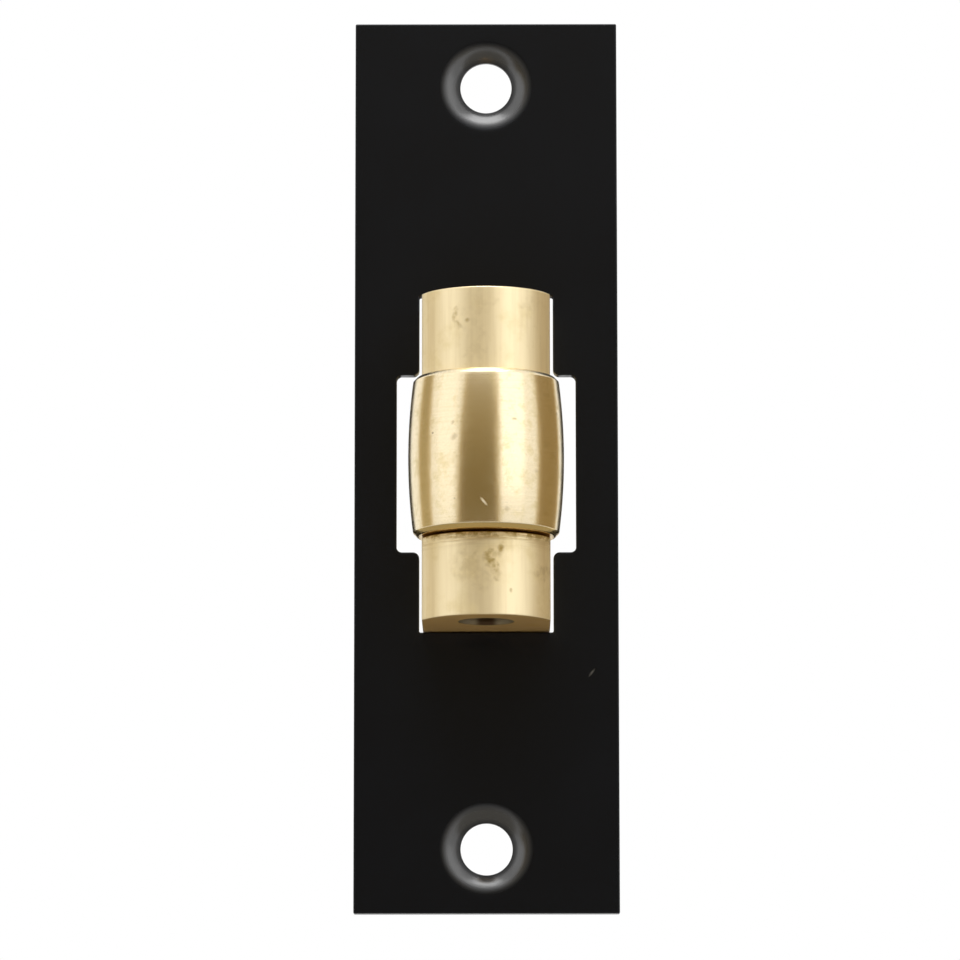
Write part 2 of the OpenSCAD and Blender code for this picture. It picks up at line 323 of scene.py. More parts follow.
def powderCoat():
    material, tree, surface, place = newMaterial(
        "black powder coat", Roughness=coat["roughness"], Specular_IOR_Level=coat["shine"]
    )
    cloud = banded(tree, noiseAt(tree, place, 0.09, 3), 0.35, 0.7)
    colour = blended(tree, cloud, linearColour(coat["colour"]), linearColour(coat["cloud"]))
    # distance from the nearer fixing hole's axis: the height's size less the hole's, beside X
    size = addNode(tree, "ShaderNodeVectorMath", {"operation": "ABSOLUTE"}, {0: place})
    away = offAxis(tree, size.outputs[0], (1, 0, 1), (0.12, 0, 36.6))
    # a ring round each fixing hole turns a lighter, metallic grey: worn coat with a painted sheen
    wearAndSheen = banded(tree, away, 4.35, 3.4, 0, 0.85)
    wearAndSheen = calculated(tree, "MULTIPLY", wearAndSheen, banded(tree, away, 2.5, 2.95, 0.4, 1))
    colour = blended(tree, wearAndSheen, colour, linearColour(coat["wornSheenGrey"]))
    mark = smear(tree, place, coat["nick"])
    colour = blended(tree, mark, colour, linearColour("#5b5a57"))
    tree.links.new(colour, surface.inputs["Base Color"])
    tree.links.new(wearAndSheen, surface.inputs["Metallic"])
    peel = noiseAt(tree, place, 1 / coat["peelMm"], 2)
    bumped(tree, surface, [(peel, 0.02, 0.06)])
    return material


# Yellow brass, drawn as a bar and rubbed with fine emery: streaks run along Z and soften the
# reflections. Handling has left olive smudges and brown drips, the roller has worn fine lines
# across the lower ear, and the sawn ends and the notch are deeper in colour and duller.
barBrass = {
    "colour": "#feedc4",
    "dull": "#f5e3b4",
    "mark": "#a98c3e",
    "sawn": "#d3ab6a",
    "notch": "#b98d45",
    # dark brown of the painted shade on the pin's ends
    "pinShade": "#46300f",
    "worn": "#cdb27c",
    "roughness": 0.45,
    "streakMm": 0.12,
    "middle": -0.6,
    "holeAt": (0.0, -8.4, 0.0),
    "floorAt": -0.45,  # depth of the notch's floor along Y
    "marks": [
        # centre, turn in degrees, length, width, raggedness and strength
        ((-2.87, -12.8, 12.3), 8, 1.3, 0.6, 2.4, 0.6),
        ((-2.6, -12.9, 11.4), -14, 1.3, 0.6, 2.4, 0.55),
        ((-1.75, -13.2, 11.65), 0, 0.55, 0.5, 1.4, 0.6),
        ((-0.7, -13.4, 13.2), 70, 3.6, 2.2, 2.6, 0.15),
        ((4.3, -12.0, 13.4), 75, 2.2, 1.3, 2.4, 0.16),
        ((-1.1, -13.4, 9.6), 0, 5.0, 2.0, 2.8, 0.14),
        ((1.35, -13.3, -10.0), 12, 1.5, 0.6, 1.8, 0.85),
        ((0.75, -13.4, -10.5), 50, 1.5, 0.6, 2.0, 0.7),
        ((0.3, -13.4, -10.9), 10, 1.7, 1.3, 2.6, 0.9),
        ((0.85, -13.4, -11.8), -18, 2.2, 0.9, 2.6, 0.7),
        ((-1.7, -13.3, -11.3), 20, 3.4, 3.2, 1.8, 0.3),
        ((-0.5, -13.4, -12.6), 0, 2.6, 2.4, 1.8, 0.24),
        ((2.3, -13.0, -13.75), 0, 0.45, 0.34, 0.8, 0.8),
        ((5.3, -10.7, -11.7), 60, 2.2, 1.4, 2.4, 0.3),
        ((-3.6, -12.4, -8.5), 80, 1.8, 0.5, 1.6, 0.5),
    ],
}


def drawnBrass():
    material, tree, surface, place = newMaterial("drawn bar brass")
    streak = noiseAt(tree, stretched(tree, place, (1, 1, 0.04)), 1 / barBrass["streakMm"], 3)
    smudge = banded(tree, noiseAt(tree, place, 0.35, 5, 0.6), 0.5, 0.72)
    colour = blended(
        tree, smudge, linearColour(barBrass["colour"]), linearColour(barBrass["dull"])
    )
    # wider, faint streaks of colour from the die
    tone = banded(tree, noiseAt(tree, stretched(tree, place, (1, 1, 0.05)), 2.4, 2), 0.4, 0.7, 0, 0.12)
    colour = blended(tree, tone, colour, linearColour(barBrass["worn"]))
    # height from the bar's middle tells the sawn ends, the notch and the ears' worn lines apart,
    # and the ears and the notch end at the notch's floor
    height = heightFrom(tree, place, barBrass["middle"])
    y = addNode(tree, "ShaderNodeSeparateXYZ", None, {0: place}).outputs["Y"]
    before = banded(tree, y, barBrass["floorAt"] + 0.15, barBrass["floorAt"] + 0.05)
    lowerEar = calculated(tree, "MULTIPLY", lowerShare(tree, place), before)
    line = noiseAt(tree, stretched(tree, place, (0.07, 0.07, 1)), 3.4, 3)
    worn = calculated(tree, "MULTIPLY", banded(tree, line, 0.42, 0.62), banded(tree, height, 9.4, 8.0))
    worn = calculated(tree, "MULTIPLY", worn, lowerEar)
    colour = blended(
        tree, calculated(tree, "MULTIPLY", worn, 0.5), colour, linearColour(barBrass["worn"])
    )
    # patchy olive darkening in a strip along the lower ear's top edge, just under the roller
    darkStripUnderRoller = banded(tree, noiseAt(tree, place, 0.9, 5, 0.65), 0.44, 0.6, 0, 0.8)
    darkStripUnderRoller = calculated(tree, "MULTIPLY", darkStripUnderRoller, banded(tree, height, 8.5, 7.75))
    darkStripUnderRoller = calculated(tree, "MULTIPLY", darkStripUnderRoller, lowerEar)
    stain = calculated(tree, "MAXIMUM", darkStripUnderRoller, smeared(tree, place, barBrass["marks"]))
    colour = blended(tree, stain, colour, linearColour(barBrass["mark"]))
    sawn = banded(tree, height, 15.41, 15.44)
    colour = blended(tree, sawn, colour, linearColour(barBrass["sawn"]))
    # painted shade over the pin's dimpled ends and the hole's mouths, darkest down the middle
    nearPin = banded(tree, offAxis(tree, place, (1, 1, 0), barBrass["holeAt"]), 2.75, 2.5)
    thick = banded(tree, offAxis(tree, place, (1, 0, 0), barBrass["holeAt"]), 1.3, 0.5, 0.72, 1)
    pinShade = calculated(tree, "MULTIPLY", nearPin, thick)
    pinShade = calculated(tree, "MULTIPLY", pinShade, banded(tree, height, 12.9, 13.1))
    colour = blended(tree, pinShade, colour, linearColour(barBrass["pinShade"]))
    notch = calculated(tree, "MULTIPLY", banded(tree, height, 7.74, 7.64), before)
    colour = blended(tree, notch, colour, linearColour(barBrass["notch"]))
    tree.links.new(colour, surface.inputs["Base Color"])
    dull = calculated(tree, "MAXIMUM", pinShade, calculated(tree, "MAXIMUM", notch, sawn))
    tree.links.new(banded(tree, dull, 0, 1, 1, 0.45), surface.inputs["Metallic"])
    rough = calculated(tree, "MULTIPLY_ADD", smudge, 0.08, barBrass["roughness"])
    tree.links.new(calculated(tree, "MULTIPLY_ADD", stain, 0.12, rough), surface.inputs["Roughness"])
    wave = noiseAt(tree, stretched(tree, place, (1, 1, 0.3)), 0.4, 1)
    bumped(tree, surface, [(wave, 0.03, 1.0), (worn, 0.03, 0.8), (streak, 0.01, 0.12)])
    return material


# Yellow brass turned on a lathe and polished: fine rings run round the roller, deeper towards its
# ends, so reflections stay sharp across it and smear a little along it. It is mottled with a
# little tarnish and has a few specks and a short bright scratch.
rollerBrass = {
    "colour": "#fcebc6",
    "tarnish": "#efdcad",
    "mark": "#75603a",
    # gold of the painted reflection on the lower chamfer
    "chamfer": "#fbd98c",
    "ring": "#dcbf7f",
    "roughness": 0.2,
    "ringMm": 0.16,
    "middle": -0.6,
    "marks": [
        # centre, turn in degrees, length, width, raggedness and strength
        ((2.65, -15.1, 2.0), 90, 0.5, 0.26, 0.6, 0.9),
        ((-3.09, -14.9, 1.7), 30, 0.5, 0.34, 1.0, 0.4),
        ((-4.93, -13.7, 0.9), 0, 0.22, 0.18, 0.0, 0.8),
        ((-3.0, -15.0, 0.3), 20, 0.8, 0.6, 1.4, 0.4),
        ((6.6, -11.3, 3.1), 0, 0.4, 0.22, 0.0, 0.8),
        ((-2.9, -15.0, -5.4), 0, 0.22, 0.22, 0.0, 0.5),
        ((1.95, -15.3, -6.4), 0, 0.6, 0.5, 1.2, 0.3),
        ((4.7, -13.9, -2.7), 0, 0.5, 0.4, 1.0, 0.25),
    ],
    "scratch": ((-0.2, -15.6, -5.77), -40, 1.0, 0.24, 0.0),
}


def turnedBrass():
    material, tree, surface, place = newMaterial("turned roller brass", Metallic=1.0)
    mottle = banded(tree, noiseAt(tree, place, 0.8, 6, 0.65), 0.45, 0.75)
    pits = banded(tree, noiseAt(tree, place, 5.5, 3, 0.6), 0.35, 0.75)
    colour = blended(
        tree, mottle, linearColour(rollerBrass["colour"]), linearColour(rollerBrass["tarnish"])
    )
    height = heightFrom(tree, place, rollerBrass["middle"])
    # painted reflection: the lower chamfer alone is tinted a deeper gold
    chamfer = banded(tree, height, 7.08, 7.16)
    chamfer = calculated(tree, "MULTIPLY", chamfer, lowerShare(tree, place))
    colour = blended(tree, chamfer, colour, linearColour(rollerBrass["chamfer"]))
    speck = calculated(
        tree,
        "MAXIMUM",
        smeared(tree, place, rollerBrass["marks"]),
        calculated(tree, "MULTIPLY", pits, 0.07),
    )
    colour = blended(tree, speck, colour, linearColour(rollerBrass["mark"]))
    scratch = smear(tree, place, rollerBrass["scratch"])
    colour = blended(tree, scratch, colour, linearColour("#fff4d8"))
    ring = noiseAt(tree, stretched(tree, place, (0.03, 0.03, 1)), 1 / rollerBrass["ringMm"], 3)
    tone = banded(tree, ring, 0.45, 0.7, 0, 0.1)
    colour = blended(tree, tone, colour, linearColour(rollerBrass["ring"]))
    tree.links.new(colour, surface.inputs["Base Color"])
    rough = calculated(tree, "MULTIPLY_ADD", mottle, 0.06, rollerBrass["roughness"])
    tree.links.new(calculated(tree, "MULTIPLY_ADD", scratch, 0.4, rough), surface.inputs["Roughness"])
    ring = calculated(tree, "MULTIPLY", ring, banded(tree, height, 4.2, 6.6, 1, 2))
    wave = noiseAt(tree, stretched(tree, place, (1, 1, 0.35)), 0.45, 2)
    bumped(tree, surface, [(wave, 0.025, 1.0), (ring, 0.01, 0.2)])
    return material


# Centreless ground carbon steel: bright and slightly grey, with fine rings from the wheel.
def groundSteel():
    material, tree, surface, place = newMaterial("ground steel", Metallic=1.0)
    cloud = noiseAt(tree, place, 0.5, 4)
    colour = blended(tree, cloud, linearColour("#b9babb"), linearColour("#8f8f8e"))
    tree.links.new(colour, surface.inputs["Base Color"])
    tree.links.new(banded(tree, cloud, 0.3, 0.7, 0.22, 0.34), surface.inputs["Roughness"])
    ring = noiseAt(tree, stretched(tree, place, (0.05, 1, 0.05)), 6, 2)
    bumped(tree, surface, [(ring, 0.01, 0.1)])
    return material


# Zinc plate with a clear passivate on steel: pale silver with a faint blue and straw cast.
def zincPlate():
    material, tree, surface, place = newMaterial("clear zinc plate", Metallic=1.0)
    cast = banded(tree, noiseAt(tree, place, 0.45, 2), 0.35, 0.65)
    colour = blended(tree, cast, linearColour("#c3c9cf"), linearColour("#cfcab9"))
    tree.links.new(colour, surface.inputs["Base Color"])
    grain = noiseAt(tree, place, 9, 3)
    tree.links.new(banded(tree, grain, 0.3, 0.7, 0.26, 0.4), surface.inputs["Roughness"])
    bumped(tree, surface, [(grain, 0.01, 0.15)])
    return material


# Hard drawn spring wire: darker steel, clouded by a trace of oil.
def springWire():
    material, tree, surface, place = newMaterial("drawn spring wire", Metallic=1.0)
    cloud = noiseAt(tree, place, 0.9, 4)
    colour = blended(tree, cloud, linearColour("#8e9093"), linearColour("#5f6062"))
    tree.links.new(colour, surface.inputs["Base Color"])
    tree.links.new(banded(tree, cloud, 0.3, 0.7, 0.24, 0.38), surface.inputs["Roughness"])
    return material


blackCoat = powderCoat()
brassOfBar = drawnBrass()
brassOfRoller = turnedBrass()
brightSteel = groundSteel()
zinc = zincPlate()
wireSteel = springWire()
print("materials ready")


# Face plate: a slotted plate with two dished screw holes, its edges rounded by the coat
plate = {
    "edgeRound": 0.14,
    "holeWide": 4.9,
    "sinkWide": 9.2,
    "sinkRound": 2.8,
    "sinkSlope": 40,
    "holeInset": 6.1,
    "slotWide": 12.7,
    "slotHigh": 32.3,
    "windowWide": 17.0,
    "windowHigh": 17.0,
    "slotRound": 0.15,
    "windowRound": 0.5,
    "stepRound": 0.6,
    "partAt": 25.0,  # height at which the middle stretch of the mesh meets the ends
    "mesh": 0.7,  # longest stretch of an edge between two points
}


def openingLine(grow, refined=None):
    # outline of the slot crossed by the window, moved outwards into the plate by grow
    slotX, slotZ = plate["slotWide"] / 2 + grow, plate["slotHigh"] / 2 + grow
    windowX, windowZ = plate["windowWide"] / 2 + grow, plate["windowHigh"] / 2 + grow
    window, slot = plate["windowRound"] + grow, plate["slotRound"] + grow
    quarter = np.array([[windowX, windowZ], [slotX, windowZ], [slotX, slotZ]])
    corners = np.concatenate(
        [quarter, quarter[::-1] * [-1, 1], quarter * -1, quarter[::-1] * [1, -1]]
    )
    step = plate["stepRound"] - grow
    radii = np.tile([window, step, slot, slot, step, window], 2)
    line = roundedLine(corners, radii, 8)
    if refined is None:
        return line
    closed = np.vstack([line, line[:1]])
    number = np.arange(len(closed))
    return np.stack([np.interp(refined, number, closed[:, k]) for k in (0, 1)], -1)


def refinedNumbers(line, longest):
    # fractional point numbers that split each stretch of a closed line into equal shares no
    # longer than longest, and keep its own points
    length = np.linalg.norm(np.roll(line, -1, 0) - line, axis=1)
    shares = np.maximum(np.ceil(length / longest), 1).astype(int)
    start = np.repeat(np.arange(len(line)), shares)
    step = np.arange(shares.sum()) - np.repeat(np.cumsum(shares) - shares, shares)
    return start + step / np.repeat(shares, shares)


def ontoRectangle(line, halfX, halfZ):
    # each point pushed straight out from the middle onto a rectangle, and the points next to the
    # rectangle's corners moved into them
    scale = np.minimum(
        halfX / np.maximum(np.abs(line[:, 0]), 1e-9), halfZ / np.maximum(np.abs(line[:, 1]), 1e-9)
    )
    pushed = line * scale[:, None]
    corners = np.array([[halfX, halfZ], [-halfX, halfZ], [-halfX, -halfZ], [halfX, -halfZ]])
    nearest = np.linalg.norm(pushed[None] - corners[:, None], axis=2).argmin(1)
    pushed[nearest] = corners
    return pushed


def flatSurface(inner, outer, y):
    # a flat ring between two matched outlines in X and Z, at depth y
    both = np.stack([inner, outer])
    return np.stack([both[..., 0], np.full(both.shape[:2], y), both[..., 1]], -1), False, True


def loftedLines(lines, depths):
    # outlines in X and Z stacked at their depths along Y
    both = np.stack(lines)
    depth = np.broadcast_to(np.asarray(depths)[:, None], both.shape[:2])
    return np.stack([both[..., 0], depth, both[..., 1]], -1), False, True


def makeFacePlate():
    low, high = nodeBox("face_plate")
    edge, front, back = plate["edgeRound"], low[1], high[1]
    halfX, halfZ = high[0] - edge, high[2] - edge
    quarter = np.radians(np.linspace(0, 90, 6))
    # distance sunk and depth of the rounded edge at the front, then at the back
    sunk = np.concatenate([edge * (1 - np.sin(quarter)), edge * (1 - np.cos(quarter))])
    depths = np.concatenate(
        [front + edge * (1 - np.cos(quarter)), back - edge * (1 - np.sin(quarter))]
    )
    numbers = refinedNumbers(openingLine(0), plate["mesh"])
    wall = [openingLine(grow, numbers) for grow in sunk]
    middle = ontoRectangle(wall[0], halfX, plate["partAt"])
    surfaces = [
        loftedLines(wall, depths),
        flatSurface(wall[0], middle, front),
        flatSurface(wall[-1], middle, back),
    ]
    # the two ends: a rectangle that shares its inner side with the middle stretch
    shared = np.unique(middle[middle[:, 1] > plate["partAt"] - 1e-6][:, 0].round(6))
    side = np.linspace(plate["partAt"], halfZ, 26)[1:]
    across = np.linspace(halfX, -halfX, 37)[1:]
    frameLine = np.concatenate(
        [
            np.stack([shared, np.full_like(shared, plate["partAt"])], -1),
            np.stack([np.full_like(side, halfX), side], -1),
            np.stack([across, np.full_like(across, halfZ)], -1),
            np.stack([np.full_like(side, -halfX), side[::-1]], -1)[1:],
        ]
    )
    holeZ = high[2] - plate["holeInset"]
    direction = unit(frameLine - [0, holeZ])
    mouth = plate["sinkWide"] / 2
    hole = plate["holeWide"] / 2
    slope = math.radians(plate["sinkSlope"])
    coneAt = mouth - plate["sinkRound"] * math.tan(slope / 2)
    # the dish: face, cone, hole wall and back, with the corners between them rounded
    sunkTo = (coneAt - hole) * math.tan(slope)
    dish = roundedLine(
        [[mouth, 0], [coneAt, 0], [hole, sunkTo], [hole, back - front], [hole + edge, back - front]],
        [0, plate["sinkRound"], 0.1, edge * 0.99, 0],
        9,
    )
    dish = dish[np.r_[True, np.linalg.norm(np.diff(dish, axis=0), axis=1) > 1e-6]]
    for sign in (1, -1):
        rings = [
            (direction * radius + [0, holeZ]) * [1, sign] for radius in dish[:, 0]
        ]
        rim = frameLine * [1, sign]
        surfaces += [
            loftedLines(rings, front + dish[:, 1]),
            flatSurface(rings[0], rim, front),
            flatSurface(rings[-1], rim, back),
        ]
    # the plate's outer edge: every outline point goes out along its side's direction, and a
    # corner point is repeated while its direction swings through 90 degrees
    outline = np.concatenate([middle, frameLine, frameLine * [1, -1]])
    onEdge = (np.abs(outline[:, 0]) > halfX - 1e-6) | (np.abs(outline[:, 1]) > halfZ - 1e-6)
    outline = np.unique(outline[onEdge].round(6), axis=0)
    outline = outline[np.argsort(np.arctan2(outline[:, 1], outline[:, 0]))]
    start = int(np.linalg.norm(outline - [halfX, -halfZ], axis=1).argmin())
    outline = np.roll(outline, -start, 0)
    isCorner = (np.abs(outline[:, 0]) > halfX - 1e-6) & (np.abs(outline[:, 1]) > halfZ - 1e-6)
    copies = np.where(isCorner, 5, 1)
    copy = np.arange(copies.sum()) - np.repeat(np.cumsum(copies) - copies, copies)
    # the first corner ends the bottom side, so its direction starts at -90 degrees
    sideNumber = np.cumsum(isCorner) - 1
    startAngle = np.repeat(np.where(isCorner, sideNumber - 1, sideNumber) * 90.0, copies)
    angle = np.radians(startAngle + copy * 90 / 4)
    base = np.repeat(outline, copies, axis=0)
    outward = np.stack([np.cos(angle), np.sin(angle)], -1)
    outerRings = [base + outward * (edge - inset) for inset in sunk]
    surfaces.append(loftedLines(outerRings, depths))
    mesh = surfaceMesh("face plate", surfaces)
    return finishPiece("facePlate", mesh, blackCoat, "frame", ["face_plate"])


makeFacePlate()
print("face plate made")


# Bolt bar: a D section with a notch for the roller, an axle hole and two rod seats
bar = {
    "noseRise": 4.2,
    "edgeRound": 0.12,
    "notchHigh": 15.3,
    "notchGap": 0.7,
    "holeGap": 0.02,
    "mouth": 0.3,
    "seatDeep": 7.0,
}


def makeBoltBar():
    low, high = nodeBox("bolt_bar")
    axle, axleWide = nodeMiddle("axle_pin"), np.ptp(nodeBox("axle_pin"), axis=0)[0]
    rollerLow, rollerHigh = nodeBox("roller")
    halfX, middleZ = high[0], (low[2] + high[2]) / 2
    floorY = rollerHigh[1] + bar["notchGap"]
    noseRadius = (halfX**2 + bar["noseRise"] ** 2) / (2 * bar["noseRise"])
    edge = bar["edgeRound"]

    def sectionLine(inset):
        # flat sides and tail moved in by inset, and a nose arc of radius noseRadius - inset
        radius, side = noseRadius - inset, halfX - inset
        reach = math.asin(side / radius)
        turn = np.linspace(reach, -reach, 65)
        centreY = low[1] + noseRadius
        arc = np.stack([radius * np.sin(turn), centreY - radius * np.cos(turn)], -1)
        run = np.linspace(high[1] - inset, arc[0, 1], 34)[:-1, None]
        tail = np.linspace(-side, side, 14)[1:-1, None]
        return np.concatenate(
            [
                np.hstack([side + 0 * run, run]),
                arc,
                np.hstack([-side + 0 * run, run])[::-1],
                np.hstack([tail, high[1] - inset + 0 * tail]),
            ]
        )

    full = sectionLine(0)
    # share of the rounding that a point gets at the notch: all in front of the floor, none behind
    front = np.clip((floorY - full[:, 1]) / 0.6, 0, 1)[:, None]
    web = np.stack([full[:, 0], np.maximum(full[:, 1], floorY)], -1)
    quarter = np.radians(np.linspace(0, 90, 6))
    half, notch = (high[2] - low[2]) / 2, bar["notchHigh"] / 2
    levels, heights = [np.tile(axle[:2], (len(full), 1))], [half]
    for a in quarter:
        levels.append(sectionLine(edge * (1 - math.sin(a))))
        heights.append(half - edge * (1 - math.cos(a)))
    for a in quarter:
        rounded = sectionLine(edge * (1 - math.cos(a)))
        levels.append(full * (1 - front) + rounded * front)
        heights.append(notch + edge * (1 - math.sin(a)))
    levels.append(web)
    heights.append(notch)
    levels = np.stack(levels + levels[::-1])
    heights = np.array(heights + [-h for h in heights[::-1]])[:, None, None] + middleZ
    skin = np.concatenate([levels, np.broadcast_to(heights, levels.shape[:2] + (1,))], -1)
    mesh = surfaceMesh("bolt bar", [(skin, False, True)])
    # the axle hole runs through both cheeks, with a chamfered mouth at each end
    radius, reach = axleWide / 2 + bar["holeGap"], half + 1
    flare = radius + bar["mouth"] + 1
    hole = [
        [0, -reach],
        [flare, -reach],
        [radius, -half + bar["mouth"]],
        [radius, half - bar["mouth"]],
        [flare, reach],
        [0, reach],
    ]
    tools = [turnedSurface(hole, [axle[0], axle[1], middleZ], "z", 72)]
    for name in ("guide_rod_upper", "guide_rod_lower"):
        rodLow, rodHigh = nodeBox(name)
        seat = (rodHigh[0] - rodLow[0]) / 2 + bar["holeGap"]
        profile = [[0, rodLow[1]], [seat, rodLow[1]], [seat, high[1] + 1], [0, high[1] + 1]]
        middle = (rodLow + rodHigh) / 2
        tools.append(turnedSurface(profile, [middle[0], 0, middle[2]], "y", 64))
    mesh = cutAway(mesh, tools)
    return finishPiece("boltBar", mesh, brassOfBar, "bolt", ["bolt_bar"])


makeBoltBar()
print("bolt bar made")


# Roller: a crowned barrel with chamfered ends and a plain bore
rollerShape = {"crown": 0.45, "chamfer": 0.4, "soften": 0.22, "runningGap": 0.05, "boreMouth": 0.25}


def makeRoller():
    low, high = nodeBox("roller")
    pinLow, pinHigh = nodeBox("axle_pin")
    middle = (low + high) / 2
    half, radius = (high[2] - low[2]) / 2, (high[0] - low[0]) / 2
    bore = (pinHigh[0] - pinLow[0]) / 2 + rollerShape["runningGap"]
    cut, mouth = rollerShape["chamfer"], rollerShape["boreMouth"]
    # the crown drops with the square of the distance from the middle, as a large arc does
    z = np.linspace(-(half - cut), half - cut, 49)
    crown = np.stack([radius - rollerShape["crown"] * (z / z[-1]) ** 2, z], -1)
    end = crown[0, 0] - cut
    corners = np.concatenate(
        [
            crown,
            [[end, half], [bore + mouth, half], [bore, half - mouth]],
            [[bore, -half + mouth], [bore + mouth, -half], [end, -half]],
        ]
    )
    radii = np.full(len(corners), 0.0)
    radii[[0, len(crown) - 1]] = rollerShape["soften"]
    radii[len(crown) :] = rollerShape["soften"]
    profile = roundedLine(corners, radii, 4)
    surface = turnedSurface(profile, middle, "z", 160, closed=True)
    mesh = surfaceMesh("roller", [surface])
    return finishPiece("crownedRoller", mesh, brassOfRoller, "roller", ["roller"])


makeRoller()
print("roller made")


# Axle pin: a brass pin with a dimple in each end from riveting
pin = {"dimpleWide": 3.1, "dimpleDeep": 0.8, "soften": 0.25}


def makeAxlePin():
    low, high = nodeBox("axle_pin")
    middle, radius, half = (low + high) / 2, (high[0] - low[0]) / 2, (high[2] - low[2]) / 2
    corners = [
        [0, half - pin["dimpleDeep"]],
        [pin["dimpleWide"] / 2, half],
        [radius, half],
        [radius, -half],
        [pin["dimpleWide"] / 2, -half],
        [0, -half + pin["dimpleDeep"]],
    ]
    profile = roundedLine(corners, [0, 0.2, pin["soften"], pin["soften"], 0.2, 0], 6)
    mesh = surfaceMesh("axle pin", [turnedSurface(profile, middle, "z", 64)])
    return finishPiece("axlePin", mesh, brassOfBar, "bolt", ["axle_pin"])


makeAxlePin()


# Strap: a steel band bent into two feet, two arms and a back
strap = {
    "thick": 2.0,
    "bend": 1.5,
    "armAt": 16.35,
    "edgeRound": 0.35,
    "rodHole": 5.6,
    "rodApart": 19.9,
    "rivetHole": 3.04,
}


def makeStrap():
    low, high = nodeBox("strap")
    thick, bend, armZ = strap["thick"], strap["bend"], strap["armAt"]
    middleZ, footZ = (low[2] + high[2]) / 2, (high[2] - low[2]) / 2
    backY = high[1] - thick
    # the band's two faces seen from the side, in Y and Z, with as many points on each
    near = [[0, footZ], [0, armZ], [backY, armZ], [backY, -armZ], [0, -armZ], [0, -footZ]]
    out, behind = armZ + thick, backY + thick
    far = [[thick, footZ], [thick, out], [behind, out], [behind, -out], [thick, -out], [thick, -footZ]]
    wide = bend + thick
    nearLine = roundedLine(near, [0, wide, bend, bend, wide, 0], 12)
    farLine = roundedLine(far, [0, bend, wide, wide, bend, 0], 12)
    keep = np.linalg.norm(np.roll(nearLine, -1, 0) - nearLine, axis=1) > 1e-6
    nearLine, farLine = nearLine[keep], farLine[keep]
    # the band's section: its width along X, and its thickness as a share from near to far
    halfX = high[0]
    section = roundedLine(
        [[-halfX, 0], [halfX, 0], [halfX, thick], [-halfX, thick]], strap["edgeRound"], 5
    )
    share = section[:, 1] / thick
    across = nearLine[:, None] + (farLine - nearLine)[:, None] * share[None, :, None]
    x = np.broadcast_to(section[:, 0], across.shape[:2])[..., None]
    band = np.concatenate([x, across + [0, middleZ]], -1)
    # each foot's end is closed with a ring moved in and a point in its middle
    first, last = (
        np.stack([np.repeat(band[k].mean(0)[None], band.shape[1], 0), band[k]]) for k in (0, -1)
    )
    band = np.concatenate([first[:1], band, last[:1]])
    mesh = surfaceMesh("strap", [(band, False, True)])
    tools = []
    for side in (1, -1):
        radius = strap["rodHole"] / 2
        profile = [[0, backY - 1], [radius, backY - 1], [radius, behind + 1], [0, behind + 1]]
        middle = [0, 0, middleZ + side * strap["rodApart"] / 2]
        tools.append(turnedSurface(profile, middle, "y", 64))
    for which in ("upper_left", "upper_right", "lower_left", "lower_right"):
        radius = strap["rivetHole"] / 2
        profile = [[0, -1], [radius, -1], [radius, thick + 1], [0, thick + 1]]
        middle = nodeMiddle("rivet_" + which)
        tools.append(turnedSurface(profile, [middle[0], 0, middle[2]], "y", 48))
    mesh = cutAway(mesh, tools)
    return finishPiece("strapBand", mesh, blackCoat, "frame", ["strap"])


makeStrap()
print("strap made")


# Rivets: the formed tail on a foot and the shank through it. The heads are flush in the face
# and under the coat, so the plate is whole in front of them.
rivet = {"shank": 3.0, "tailWide": 4.6, "tailHigh": 1.2, "grip": 2.0}


def makeRivet(which):
    middle = nodeMiddle("rivet_" + which)
    tail, rise = rivet["tailWide"] / 2, rivet["tailHigh"]
    radius = (tail**2 + rise**2) / (2 * rise)
    turn = np.linspace(0, math.asin(tail / radius), 12)
    dome = np.stack(
        [radius * np.sin(turn), rivet["grip"] + rise - radius + radius * np.cos(turn)], -1
    )
    shank = [[rivet["shank"] / 2, rivet["grip"]], [rivet["shank"] / 2, 0.0], [0, 0.0]]
    profile = np.concatenate([dome, shank])
    mesh = surfaceMesh("rivet", [turnedSurface(profile, [middle[0], 0, middle[2]], "y", 40)])
    name = "rivet_" + which
    return finishPiece(name + "_tail", mesh, blackCoat, "frame", [name])


for which in ("upper_left", "upper_right", "lower_left", "lower_right"):
    makeRivet(which)
print("rivets made")


# Guide rods: plain where they slide, with a rolled thread under the nuts
rod = {"pitch": 0.7, "depth": 0.36, "threadFrom": 30.4, "chamfer": 0.4}


